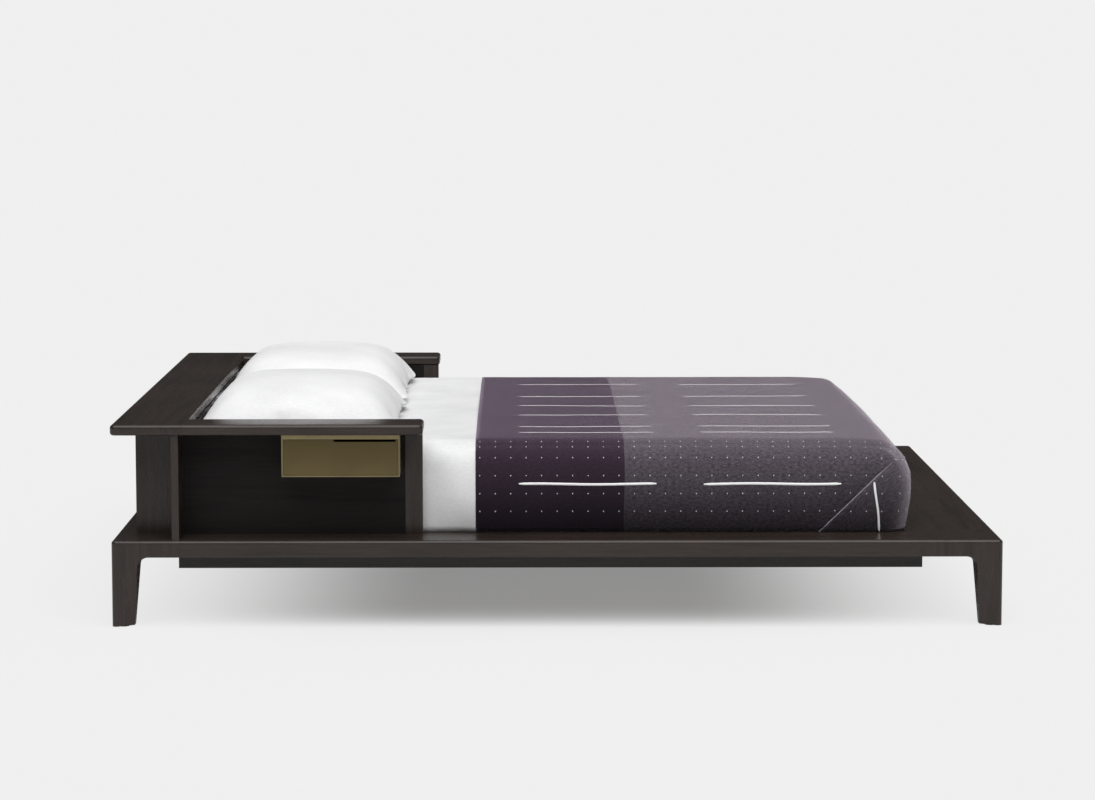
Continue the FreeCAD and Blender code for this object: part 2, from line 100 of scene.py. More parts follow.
# ---- node helpers
@dataclass
class NodeBench:
    """A material's node tree, with short ways to add and join nodes."""

    material: Material

    @classmethod
    def start(cls, name: str) -> "NodeBench":
        """Make an empty material with a Principled shader.

        Args:
            name: The material's name.

        Returns:
            The bench for that material.
        """
        material = bpy.data.materials.new(name)
        material.use_nodes = True
        return cls(material)

    @property
    def shader(self) -> bpy.types.Node:
        """The Principled shader."""
        return self.material.node_tree.nodes["Principled BSDF"]

    def add(self, kind: str, **values: object) -> bpy.types.Node:
        """Add a node and set its properties.

        Args:
            kind: The node's type name.
            **values: Properties to set on it.

        Returns:
            The new node.
        """
        node = self.material.node_tree.nodes.new(kind)
        for key, value in values.items():
            setattr(node, key, value)
        return node

    def join(self, source: Socket, target: Socket) -> None:
        """Link one socket to another."""
        self.material.node_tree.links.new(source, target)

    def feed(self, value: object, target: Socket) -> None:
        """Give a socket its value.

        Args:
            value: A socket to link, a colour, or a number.
            target: The socket that takes it.
        """
        if isinstance(value, Socket):
            self.join(value, target)
        elif isinstance(value, tuple):
            target.default_value = (*value, 1.0)
        else:
            target.default_value = value

    def fix(self, **values: object) -> None:
        """Feed the shader's own sockets, named with underscores for spaces."""
        for key, value in values.items():
            self.feed(value, self.shader.inputs[key.replace("_", " ")])

    def place(self, scale: Sequence[float] = PLAIN, uv: bool = False) -> Socket:
        """Scaled coordinates in metres.

        Args:
            scale: Scale along each axis.
            uv: Whether to use the cloth's own flat map instead of Object coordinates.

        Returns:
            The coordinate socket.
        """
        coord = self.add("ShaderNodeTexCoord")
        mapping = self.add("ShaderNodeMapping")
        mapping.inputs["Scale"].default_value = tuple(scale)
        self.join(coord.outputs["UV" if uv else "Object"], mapping.inputs["Vector"])
        return mapping.outputs["Vector"]

    def distance(self, axis: str, uv: bool = False) -> Socket:
        """One coordinate in metres.

        Args:
            axis: X, Y or Z.
            uv: Whether it is measured on the cloth's own flat map.

        Returns:
            The coordinate's socket.
        """
        split = self.add("ShaderNodeSeparateXYZ")
        self.join(self.place(uv=uv), split.inputs["Vector"])
        return split.outputs[axis]

    def noise(self, where: Socket, scale: float, detail: float = 4.0, roughness: float = 0.55,
              distortion: float = 0.0) -> Socket:
        """A noise texture's factor.

        Args:
            where: Coordinates.
            scale: Noise scale.
            detail: Octaves.
            roughness: Weight of the fine octaves.
            distortion: Warp.

        Returns:
            The factor socket.
        """
        node = self.add("ShaderNodeTexNoise")
        values = {"Vector": where, "Scale": scale, "Detail": detail, "Roughness": roughness,
                  "Distortion": distortion}
        for key, value in values.items():
            self.feed(value, node.inputs[key])
        return node.outputs["Fac"]

    def ramp(self, factor: Socket, stops: Sequence[Tuple[float, Triple]]) -> Socket:
        """Colours picked by a factor.

        Args:
            factor: The factor socket.
            stops: Pairs of position and colour.

        Returns:
            The colour socket.
        """
        node = self.add("ShaderNodeValToRGB")
        elements = node.color_ramp.elements
        while len(elements) < len(stops):
            elements.new(0.5)
        for element, (position, colour) in zip(elements, stops):
            element.position = position
            element.color = (*colour, 1.0)
        self.join(factor, node.inputs["Fac"])
        return node.outputs["Color"]

    def span(self, factor: Socket, low: float, high: float, start: float = 0.0,
             end: float = 1.0, smooth: bool = False) -> Socket:
        """A factor mapped from start..end to low..high.

        Args:
            factor: The factor socket.
            low: Result at start.
            high: Result at end.
            start: Where the change starts.
            end: Where it ends.
            smooth: Whether the change eases in and out.

        Returns:
            The result socket.
        """
        node = self.add("ShaderNodeMapRange",
                        interpolation_type="SMOOTHSTEP" if smooth else "LINEAR")
        values = {"Value": factor, "From Min": start, "From Max": end, "To Min": low,
                  "To Max": high}
        for key, value in values.items():
            self.feed(value, node.inputs[key])
        return node.outputs["Result"]

    def math(self, operation: str, a: Socket, b: object = 0.0) -> Socket:
        """A math node on one or two sockets.

        Args:
            operation: The operation's name.
            a: First value's socket.
            b: Second value, a socket or a number.

        Returns:
            The result socket.
        """
        node = self.add("ShaderNodeMath", operation=operation)
        self.feed(a, node.inputs[0])
        self.feed(b, node.inputs[1])
        return node.outputs[0]

    def blend(self, factor: object, first: object, second: object, mode: str = "MIX") -> Socket:
        """Mix two colours.

        Args:
            factor: The mix factor, a socket or a number.
            first: A colour or a socket.
            second: A colour or a socket.
            mode: Blend mode.

        Returns:
            The colour socket.
        """
        node = self.add("ShaderNodeMix", data_type="RGBA", blend_type=mode)
        self.feed(factor, node.inputs["Factor"])
        for key, value in (("A", first), ("B", second)):
            self.feed(value, [s for s in node.inputs if s.name == key and s.type == "RGBA"][0])
        return [s for s in node.outputs if s.type == "RGBA"][0]

    def bump(self, heights: Sequence[Tuple[Socket, float]]) -> None:
        """Chain bumps into the shader's normal.

        Args:
            heights: Pairs of height socket and depth in metres.
        """
        last: Optional[Socket] = None
        for height, depth in heights:
            node = self.add("ShaderNodeBump")
            self.feed(1.0, node.inputs["Strength"])
            self.feed(depth, node.inputs["Distance"])
            self.feed(height, node.inputs["Height"])
            if last is not None:
                self.join(last, node.inputs["Normal"])
            last = node.outputs["Normal"]
        self.fix(Normal=last)


# ---- finishes
@dataclass(frozen=True)
class StainedWood:
    """Straight-grained board with a satin stain."""

    name: str
    pale: Triple
    dark: Triple
    roughness: Pair = (0.22, 0.34)
    pore_depth: float = 0.00006
    gloss: float = 0.5
    figure_scale: Pair = (14.0, 0.9)
    pore_scale: Pair = (420.0, 9.0)
    cloud_scale: float = 1.7

    def make(self, grain: Grain) -> Material:
        """Build the finish for one grain direction.

        Args:
            grain: Which way the grain runs.

        Returns:
            The material.
        """
        bench = NodeBench.start(f"{self.name}_{grain.name.lower()}")
        figure_scale, pore_scale = ([across] * 3 for across, _ in (self.figure_scale,
                                                                   self.pore_scale))
        figure_scale[grain.value] = self.figure_scale[1]
        pore_scale[grain.value] = self.pore_scale[1]
        figure = bench.noise(bench.place(figure_scale), 1.6, 6.0, 0.62, 0.6)
        pores = bench.noise(bench.place(pore_scale), 1.0, 3.0, 0.6)
        cloud = bench.noise(bench.place((self.cloud_scale,) * 3), 1.0, 2.0)
        tone = bench.ramp(figure, [(0.30, self.dark), (0.52, self.pale), (0.72, self.dark)])
        shade = bench.span(pores, 0.72, 1.12, 0.3, 0.75)
        cloudy = bench.span(cloud, 0.85, 1.12, 0.3, 0.7)
        both = bench.math("MULTIPLY", shade, cloudy)
        bench.fix(Base_Color=bench.blend(1.0, tone, both, "MULTIPLY"),
                  Roughness=bench.span(pores, self.roughness[1], self.roughness[0], 0.3, 0.7),
                  Specular_IOR_Level=self.gloss)
        bench.bump([(pores, self.pore_depth), (figure, self.pore_depth * 1.5)])
        return bench.material


@dataclass(frozen=True)
class BrushedMetal:
    """Satin sheet metal brushed along X."""

    name: str
    colour: Triple
    roughness: Pair = (0.30, 0.46)
    brush_depth: float = 0.00003
    brush_scale: Triple = (6.0, 900.0, 900.0)
    stain_scale: float = 9.0
    stain_tone: float = 0.82
    # painted_top_shade darkens the metal towards its top: painted shade.
    painted_top_shade: float = 1.0
    painted_top_shade_heights: Pair = (0.0, 1.0)

    def make(self) -> Material:
        """Build the finish.

        Returns:
            The material.
        """
        bench = NodeBench.start(self.name)
        brush = bench.noise(bench.place(self.brush_scale), 1.0, 3.0, 0.6)
        stain = bench.noise(bench.place((self.stain_scale,) * 3), 1.0, 4.0, 0.6)
        deep = tuple(c * self.stain_tone for c in self.colour)
        tone = bench.ramp(stain, [(0.3, deep), (0.7, self.colour)])
        # Painted shade: darker towards the top, where the drawer front sits under the ledge.
        if self.painted_top_shade < 1.0:
            shaded_tone = tuple(c * self.painted_top_shade for c in self.colour)
            tone = bench.blend(bench.span(bench.distance("Z"), 0.0, 1.0, *self.painted_top_shade_heights),
                               tone, shaded_tone)
        bench.fix(Base_Color=tone, Roughness=bench.span(brush, *self.roughness, 0.3, 0.7),
                  Metallic=1.0)
        bench.bump([(brush, self.brush_depth)])
        return bench.material


@dataclass(frozen=True)
class MouldedPlastic:
    """Matt moulded plastic with a fine texture."""

    name: str
    colour: Triple
    fine_scale: float = 900.0
    fine_depth: float = 0.00005
    paler: float = 1.25

    def make(self) -> Material:
        """Build the finish.

        Returns:
            The material.
        """
        bench = NodeBench.start(self.name)
        fine = bench.noise(bench.place((self.fine_scale,) * 3), 1.0, 3.0)
        pale = tuple(c * self.paler for c in self.colour)
        bench.fix(Base_Color=bench.ramp(fine, [(0.3, self.colour), (0.7, pale)]),
                  Roughness=bench.span(fine, 0.45, 0.6, 0.3, 0.7))
        bench.bump([(fine, self.fine_depth)])
        return bench.material


@dataclass(frozen=True)
class WovenCloth:
    """Woven cloth that follows its own flat map, in metres."""

    name: str
    colour: Triple
    fleck: Triple
    fleck_share: float = 0.0
    thread: float = 0.0012
    depth: float = 0.00015
    nap: float = 0.3
    nap_roughness: float = 0.4
    nap_tint: Triple = PLAIN
    mottle: float = 0.04
    # painted_bottom_shade darkens the cloth towards its lower edge, by height: painted shade.
    painted_bottom_shade: float = 1.0
    painted_bottom_shade_heights: Pair = (0.24, 0.50)
    slub_scale: Triple = (90.0, 700.0, 1.0)
    slub_share: float = 0.55
    fuzz_scale: float = 420.0
    patch_scale: float = 5.0
    blot_scale: float = 150.0
    gloss: float = 0.15

    def make(self) -> Material:
        """Build the finish.

        Returns:
            The material.
        """
        bench = NodeBench.start(self.name)
        turn = math.tau / (2.0 * self.thread)
        warp, weft = (bench.math("SINE", bench.math("MULTIPLY", bench.distance(axis, True), turn))
                      for axis in ("X", "Y"))
        weave = bench.math("MULTIPLY", warp, weft)
        slub = bench.noise(bench.place(self.slub_scale, uv=True), 1.0, 3.0, 0.7)
        fuzz = bench.noise(bench.place(uv=True), self.fuzz_scale, 4.0, 0.7)
        patch = bench.noise(bench.place(uv=True), self.patch_scale, 3.0, 0.5)
        edge = 0.5 + 0.32 * (1.0 - 2.0 * self.fleck_share)
        mixed = bench.math("ADD", bench.math("MULTIPLY", slub, self.slub_share),
                           bench.math("MULTIPLY", fuzz, 1.0 - self.slub_share))
        picks = bench.span(mixed, 0.0, 1.0, edge - 0.16, edge + 0.10)
        tone = bench.blend(picks, self.colour, self.fleck)
        blot = bench.noise(bench.place((0.6, 1.0, 1.0), uv=True), self.blot_scale, 3.0, 0.75)
        shade = bench.math("MULTIPLY", bench.span(weave, 0.90, 1.05, -1.0, 1.0),
                           bench.span(patch, 0.93, 1.06, 0.3, 0.7))
        shade = bench.math("MULTIPLY", shade, bench.span(blot, 1.0 - self.mottle,
                                                         1.0 + self.mottle, 0.35, 0.65))
        # Painted shade: the colour darkens towards the bottom of the cloth's fall, by height above
        # the floor.
        if self.painted_bottom_shade < 1.0:
            shade = bench.math("MULTIPLY", shade, bench.span(bench.distance("Z"), self.painted_bottom_shade,
                                                             1.0, *self.painted_bottom_shade_heights))
        bench.fix(Base_Color=bench.blend(1.0, tone, shade, "MULTIPLY"),
                  Roughness=bench.span(fuzz, 0.78, 0.95, 0.3, 0.7),
                  Sheen_Weight=self.nap, Sheen_Roughness=self.nap_roughness,
                  Sheen_Tint=self.nap_tint, Specular_IOR_Level=self.gloss)
        bench.bump([(weave, self.depth), (fuzz, self.depth), (blot, self.depth * 2.5)])
        return bench.material


DARK_STAIN = StainedWood("dark_stain", (0.036, 0.0255, 0.0205), (0.020, 0.0143, 0.0118),
                         gloss=0.36)
# A darker, duller copy of the dark stain for the wall under the arm ledge: painted shade.
NICHE_PAINTED_SHADE = StainedWood("niche_painted_shade", (0.012, 0.0095, 0.009), (0.007, 0.0058, 0.0056),
                          (0.45, 0.6), 0.00006, 0.15)
UNDER_STAIN = StainedWood("underframe_stain", (0.030, 0.026, 0.024), (0.016, 0.014, 0.013),
                          (0.5, 0.65))
OILED_BIRCH = StainedWood("oiled_birch", (0.66, 0.48, 0.30), (0.50, 0.34, 0.19), (0.45, 0.6))
BEECH = StainedWood("beech", (0.62, 0.42, 0.26), (0.52, 0.33, 0.19), (0.5, 0.65))
# The drawer brass is painted darker near its top: painted shade under the ledge.
SATIN_BRASS = BrushedMetal("satin_brass", (0.165, 0.128, 0.062), (0.40, 0.52),
                           painted_top_shade=0.62, painted_top_shade_heights=(0.43, 0.53))
# A lighter copy of the brass for the drawer housing, whose rim shows as a light line: painted
# highlight.
RIM_BRASS_PAINTED_HIGHLIGHT = BrushedMetal("rim_brass_painted_highlight", (0.27, 0.222, 0.122), (0.34, 0.46))
ZINC_STEEL = BrushedMetal("zinc_steel", (0.62, 0.63, 0.65), (0.34, 0.5))
BLACK_NYLON = MouldedPlastic("black_nylon", (0.03, 0.03, 0.03))
SHEET_COTTON = WovenCloth("sheet_cotton", (0.76, 0.765, 0.77), (0.81, 0.81, 0.815), 0.5,
                          0.0006, 0.00006, 0.15)
PILLOW_COTTON = WovenCloth("pillow_cotton", (0.82, 0.82, 0.83), (0.87, 0.87, 0.875), 0.5,
                           0.0006, 0.00006, 0.15)
TICKING = WovenCloth("ticking", (0.80, 0.78, 0.74), (0.86, 0.85, 0.82), 0.5, 0.0012, 0.0002, 0.1)
# Each wool's last number is its painted bottom shade: the cloth painted darker towards its lower
# edge.
PLUM_WOOL = WovenCloth("plum_wool", (0.032, 0.019, 0.033), (0.056, 0.035, 0.057), 0.35,
                       0.0022, 0.0003, 1.0, 0.32, (0.94, 0.76, 0.98), 0.15, 0.16)
HEATHER_WOOL = WovenCloth("heather_wool", (0.036, 0.027, 0.037), (0.165, 0.137, 0.168), 0.48,
                          0.0022, 0.0005, 1.0, 0.32, (1.0, 0.88, 1.0), 0.42, 0.14)
WHITE_THREAD = WovenCloth("white_thread", (0.85, 0.85, 0.86), (0.92, 0.92, 0.92), 0.5,
                          0.0008, 0.0001, 0.1)


# ---- CAD pieces
@dataclass
class Carpentry:
    """Dresses the carried-over boards, metalwork and fasteners."""

    along_x: Names = ("side_board", "ledge_arm")
    along_y: Names = ("head_board", "foot_board", "ledge_head", "head_outer",
                                "head_inner", "head_ribs")
    along_z: Names = ("corner_leg", "arm_fin", "arm_post", "head_end")
    dark_x: Names = ("underframe_rail_near", "underframe_rail_far", "centre")
    dark_y: Names = ("underframe_rail", "cross_rails")
    brass: Names = ("drawer_tray", "drawer_front", "drawer_stops")
    steel: Names = ("underframe_bolts", "joint_plates", "plate_screws",
                              "housing_screws")

    def dress(self) -> None:
        """Give every carried-over node its finish."""
        rules = [
            # Painted shade: the niche wall gets the darker copy of the stain.
            (("arm_wall",), NICHE_PAINTED_SHADE.make(Grain.ALONG_X)),
            (self.along_x, DARK_STAIN.make(Grain.ALONG_X)),
            (self.along_y, DARK_STAIN.make(Grain.ALONG_Y)),
            (self.along_z, DARK_STAIN.make(Grain.ALONG_Z)),
            (self.dark_x, UNDER_STAIN.make(Grain.ALONG_X)),
            (self.dark_y, UNDER_STAIN.make(Grain.ALONG_Y)),
            (("slat_ledger",), OILED_BIRCH.make(Grain.ALONG_X)),
            (("slat_",), OILED_BIRCH.make(Grain.ALONG_Y)),
            (("panel_dowels",), BEECH.make(Grain.ALONG_Z)),
            # Painted highlight: the housing gets the lighter copy of the brass.
            (("drawer_housing",), RIM_BRASS_PAINTED_HIGHLIGHT.make()),
            (self.brass, SATIN_BRASS.make()),
            (self.steel, ZINC_STEEL.make()),
            (("leg_glides", "drawer_glides"), BLACK_NYLON.make()),
        ]
        for name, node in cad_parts.items():
            for prefixes, material in rules:
                if name.startswith(prefixes):
                    node.data.materials.clear()
                    node.data.materials.append(material)
                    break
            else:
                LOG.info("left for a soft piece: %s", name)


# ---- shared forms
@dataclass(frozen=True)
class RoundedForm:
    """A block with rounded upright corners and top edges, and sides that belly out."""

    low: Vector
    high: Vector
    radius: float
    belly: float = 0.0
    tight: float = 1.0
    free_from: float = -9.0
    held_from: float = 9.0
    foot_drop: float = 0.013
    foot_drop_run: float = 0.20
    foot_drop_power: float = 2.2
    foot_drop_reach: float = 1.6
    ease_run: float = 0.12
    corner_swell: float = 0.3

    def place(self, p: Vector, lift: float = 0.0) -> Vector:
        """Move a point of the sharp block onto the rounded one.

        Args:
            p: A point on the sharp block's surface.
            lift: Distance off the rounded surface.

        Returns:
            The point on the rounded surface.
        """
        core = self.core(p)
        out = p - core
        if out.length < TINY:
            return p.copy()
        way = out.normalized()
        height = (p.z - self.low.z) / (self.high.z - self.low.z)
        free = clamp((p.x - self.free_from) / self.ease_run + 0.5)
        free *= clamp((self.held_from - p.x) / self.ease_run + 0.5)
        ease = self.tight + (1.0 - self.tight) * free * free * (3.0 - 2.0 * free)
        swell = self.belly * ease * math.sin(math.pi * clamp(height))
        side = math.sqrt(way.x * way.x + way.y * way.y)
        corner = 1.0 + self.corner_swell * abs(way.x * way.y) * 2.0
        spot = core + way * (self.radius + lift) + way * swell * side * corner
        toe = clamp(1.0 - (self.high.x - p.x) / self.foot_drop_run) ** self.foot_drop_power
        spot.z -= self.foot_drop * toe * max(0.0, 1.0 - (1.0 - height) * self.foot_drop_reach)
        return spot

    def core(self, p: Vector) -> Vector:
        """The nearest point of the block's inner core."""
        r = self.radius
        return Vector((min(max(p.x, self.low.x + r), self.high.x - r),
                       min(max(p.y, self.low.y + r), self.high.y - r),
                       min(p.z, self.high.z - r)))


def block_mesh(low: Vector, high: Vector, step: float, keep_head: bool) -> Mesh:
    """An evenly divided block with no underside.

    Args:
        low: Lowest corner.
        high: Highest corner.
        step: Size of its squares.
        keep_head: Whether the face at the head end stays.

    Returns:
        The block's bmesh.
    """
    mesh = bmesh.new()
    bmesh.ops.create_cube(mesh, size=1.0)
    size = high - low
    bmesh.ops.scale(mesh, vec=size, verts=mesh.verts)
    bmesh.ops.translate(mesh, vec=(low + high) / 2, verts=mesh.verts)
    mesh.normal_update()
    gone = [f for f in mesh.faces if f.normal.z < -0.5 or (f.normal.x < -0.5 and not keep_head)]
    bmesh.ops.delete(mesh, geom=gone, context="FACES")
    for axis in range(3):
        cuts = max(int(round(size[axis] / step)) - 1, 1)
        edges = [e for e in mesh.edges
                 if abs((e.verts[0].co - e.verts[1].co)[axis]) > 0.5 * size[axis]]
        bmesh.ops.subdivide_edges(mesh, edges=edges, cuts=cuts, use_grid_fill=True)
    return mesh


def map_flat(mesh: Mesh, low: Vector, high: Vector) -> None:
    """Lay the sharp block's faces out flat as the cloth's map, in metres.

    Args:
        mesh: The block before it is rounded.
        low: Its lowest corner.
        high: Its highest corner.
    """
    layer = mesh.loops.layers.uv.new("flat")
    mesh.normal_update()
    for face in mesh.faces:
        n = face.normal
        for loop in face.loops:
            p = loop.vert.co
            fall = high.z - p.z
            if n.z > 0.5:
                spot = (p.x, p.y)
            elif n.y < -0.5:
                spot = (p.x, low.y - fall)
            elif n.y > 0.5:
                spot = (p.x, high.y + fall)
            elif n.x > 0.5:
                spot = (high.x + fall, p.y)
            else:
                spot = (low.x - fall, p.y)
            loop[layer].uv = spot


def finish_piece(mesh: Mesh, name: str, materials: Sequence[Material],
                 smooth: bool = True) -> Piece:
    """Turn a bmesh into an object at the origin.

    Args:
        mesh: The bmesh, which is freed.
        name: The piece's name.
        materials: Its materials, in slot order.
        smooth: Whether its faces are smooth.

    Returns:
        The object.
    """
    data = bpy.data.meshes.new(name)
    mesh.to_mesh(data)
    mesh.free()
    for material in materials:
        data.materials.append(material)
    data.polygons.foreach_set("use_smooth", [smooth] * len(data.polygons))
    piece = bpy.data.objects.new(name, data)
    bpy.context.scene.collection.objects.link(piece)
    LOG.info("%s: %d faces", name, len(data.polygons))
    return piece


def thicken(piece: Piece, thickness: float) -> None:
    """Give a sheet its thickness, inwards.

    Args:
        piece: The sheet.
        thickness: Its thickness in metres.
    """
    wall = piece.modifiers.new("thickness", "SOLIDIFY")
    wall.thickness = thickness
    wall.offset = -1.0


def creases(p: Vector, seed: float, size: float) -> float:
    """Smooth random value from -1 to 1.

    Args:
        p: Where.
        seed: Which pattern.
        size: Wavelength in metres.

    Returns:
        The value.
    """
    return noise.noise(p / size + Vector((seed, -seed, seed * 0.5)))


# ---- bed
@dataclass
class Mattress:
    """Foam mattress with rounded edges, under the fitted sheet."""

    step: float = 0.05
    shrink: float = 0.002
    radius: float = 0.060

    def build(self) -> Piece:
        """Make the mattress.

        Returns:
            The mattress.
        """
        low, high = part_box("mattress")
        grow = Vector((self.shrink,) * 3)
        low, high = low + grow, high - grow
        form = RoundedForm(low, high, self.radius)
        mesh = block_mesh(low, high, self.step, True)
        map_flat(mesh, low, high)
        rim = [e for e in mesh.edges if e.is_boundary]
        for vert in mesh.verts:
            vert.co = form.place(vert.co)
        bmesh.ops.contextual_create(mesh, geom=rim)
        bmesh.ops.recalc_face_normals(mesh, faces=mesh.faces)
        piece = finish_piece(mesh, "mattress_core", [TICKING.make()])
        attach(piece, BODY)
        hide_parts("mattress")
        return piece


@dataclass
class FittedSheet:
    """White cotton sheet pulled over the mattress."""

    step: float = 0.016
    thickness: float = 0.0015
    radius: float = 0.062
    belly: float = 0.019
    ripple: float = 0.0025
    ripple_length: float = 0.33
    gather_length: float = 0.055
    gather_gain: float = 4.5
    tight: float = 0.2
    free_from_head: float = 0.93
    held_from_head: float = 1.12

    def pucker(self, p: Vector, low: Vector, high: Vector) -> float:
        """How far the cloth stands off.

        Args:
            p: A point of the sharp block.
            low: The block's lowest corner.
            high: Its highest corner.

        Returns:
            The distance.
        """
        side = min((high.z - p.z) / (high.z - low.z), 1.0)
        soft = creases(p, 3.1, self.ripple_length) * self.ripple
        gather = creases(Vector((p.x, p.y, p.z * 0.25)), 7.7, self.gather_length) * self.ripple
        return soft * (1.0 - 0.6 * side) + gather * max(side - 0.50, 0.0) * self.gather_gain

    def build(self) -> Piece:
        """Make the sheet.

        Returns:
            The sheet.
        """
        low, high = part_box("fitted_sheet")
        form = RoundedForm(low, high, self.radius, self.belly, self.tight,
                           CAD_BOX[0].x + self.free_from_head,
                           CAD_BOX[0].x + self.held_from_head)
        mesh = block_mesh(low, high, self.step, True)
        map_flat(mesh, low, high)
        for vert in mesh.verts:
            vert.co = form.place(vert.co, self.pucker(vert.co, low, high))
        piece = finish_piece(mesh, "fitted_sheet_cloth", [SHEET_COTTON.make()])
        thicken(piece, self.thickness)
        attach(piece, BODY)
        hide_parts("fitted_sheet")
        return piece


@dataclass
class Blanket:
    """Two-tone throw over the foot half, folded at the foot corners and stitched."""

    step: float = 0.014
    thickness: float = 0.005
    radius: float = 0.066
    belly: float = 0.017
    ripple: float = 0.0022
    ripple_length: float = 0.42
    fine_length: float = 0.09
    slump: float = 0.006
    valley: float = 0.010
    valley_width: float = 0.035
    valley_shoulder: float = 0.03
    seam_from_head: float = 1.431
    seam_size: Pair = (0.0040, 0.0012)
    fold_from_head: float = 1.979
    fold_top: float = 0.219
    fold_edge: float = 0.004
    fold_fade: float = 0.22
    fold_clear: float = 0.0006
    fold_sink: float = 0.0008
    fold_line_top: Pair = (0.155, 0.145)
    fold_line_foot: Pair = (0.172, 0.002)
    wrap_lift: float = 0.0085
    wrap_columns: int = 190
    wrap_rows: int = 20
    wrap_edge_share: float = 0.45
    dot_pitch: float = 0.0436
    dot_rows: Tuple[float, ...] = (0.060, 0.111, 0.162, 0.211, 0.256)
    dot_size: Triple = (0.0013, 0.0022, 0.0011)
    dot_start: float = 0.012
    dot_inset: float = 0.03
    dot_clear: float = 0.0004
    line_starts: Tuple[float, ...] = (1.132, 1.653)
    line_length: float = 0.388
    line_height: float = 0.138
    bold_line: Pair = (0.0075, 0.0022)
    fine_line: Pair = (0.0042, 0.0010)
    top_lines: Tuple[float, ...] = (-0.725, -0.590, -0.320, -0.075, 0.195, 0.575)
    low: Vector = field(init=False)
    high: Vector = field(init=False)
    form: RoundedForm = field(init=False)
    head: float = field(init=False)

    def __post_init__(self) -> None:
        """Take the form from the frame."""
        self.low, self.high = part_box("blanket")
        whole_low = Vector((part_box("fitted_sheet")[0].x, self.low.y, self.low.z))
        self.form = RoundedForm(whole_low, self.high, self.radius, self.belly)
        self.head = CAD_BOX[0].x

    def dip(self, p: Vector) -> float:
        """How far the side sinks beside the folded foot corner.

        Args:
            p: A point of the sharp block.

        Returns:
            The depth, which fades out near the top, the hem and the foot end.
        """
        height = p.z - self.low.z
        if abs(p.y) < self.high.y - TINY or height > self.fold_top + self.valley_shoulder:
            return 0.0
        off = (p.x - self.head - self.fold_from_head - height) / 1.414
        fade = clamp((self.fold_top + self.valley_shoulder - height) / 0.05)
        corner = clamp((self.high.x - p.x) / 0.10) * clamp((height - 0.012) / 0.06)
        bank = math.exp(-(off / self.valley_width) ** 2) if off < 0 else 1.0
        return self.valley * fade * corner * bank

    def lie(self, p: Vector, lift: float = 0.0, under: bool = False) -> Vector:
        """A point of the sharp block on the draped blanket.

        Args:
            p: A point on the sharp block.
            lift: Distance off the cloth.
            under: Whether the point is on the layer that dips beside the folded corner.

        Returns:
            The draped point.
        """
        side = min((self.high.z - p.z) / (self.high.z - self.low.z), 1.0)
        soft = creases(p, 11.3, self.ripple_length) * self.ripple
        fine = creases(Vector((p.x, p.y, p.z * 0.4)), 4.2, self.fine_length) * self.ripple * 0.5
        slump = self.slump * clamp((abs(p.y) - 0.35) / 0.55) * (1.0 - side)
        sunk = self.dip(p) if under else 0.0
        return self.form.place(p, soft + fine * (0.3 + side) - slump + lift - sunk)

    def build(self) -> Piece:
        """Make the throw, its folded foot layer and its stitching.

        Returns:
            The throw.
        """
        mesh = block_mesh(self.low, self.high, self.step, False)
        seam = self.head + self.seam_from_head
        bmesh.ops.bisect_plane(mesh, geom=mesh.verts[:] + mesh.edges[:] + mesh.faces[:],
                               plane_co=(seam, 0, 0), plane_no=(1, 0, 0), dist=0.0005)
        map_flat(mesh, self.low, self.high)
        for face in mesh.faces:
            face.material_index = 0 if face.calc_center_median().x < seam else 1
        for vert in mesh.verts:
            vert.co = self.lie(vert.co, under=True)
        heather = HEATHER_WOOL.make()
        piece = finish_piece(mesh, "throw", [PLUM_WOOL.make(), heather])
        thicken(piece, self.thickness)
        wrap = self.foot_wrap(heather)
        thread = WHITE_THREAD.make()
        parts = [wrap, self.dots(thread), self.lines(thread), self.seam(heather)]
        for part in [piece, *parts]:
            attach(part, BODY)
        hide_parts("blanket")
        return piece

    def wrap_point(self, along: float, height: float) -> Vector:
        """A point of the sharp block on the folded foot layer.

        Args:
            along: Distance from the near fold, round the foot end.
            height: Height above the lower hem.

        Returns:
            The point on the sharp block.
        """
        start = self.fold_start(height)
        near_run = self.high.x - start
        width = self.high.y - self.low.y
        z = self.low.z + height
        if along <= near_run:
            return Vector((start + along, self.low.y, z))
        if along <= near_run + width:
            return Vector((self.high.x, self.low.y + along - near_run, z))
        return Vector((self.high.x - (along - near_run - width), self.high.y, z))

    def fold_start(self, height: float) -> float:
        """Where along X the foot layer's slanting edges lie at one height."""
        return min(self.head + self.fold_from_head + height, self.high.x - self.fold_edge)

    def wrap_length(self, height: float) -> float:
        """Length round the foot layer at one height."""
        return 2 * (self.high.x - self.fold_start(height)) + self.high.y - self.low.y

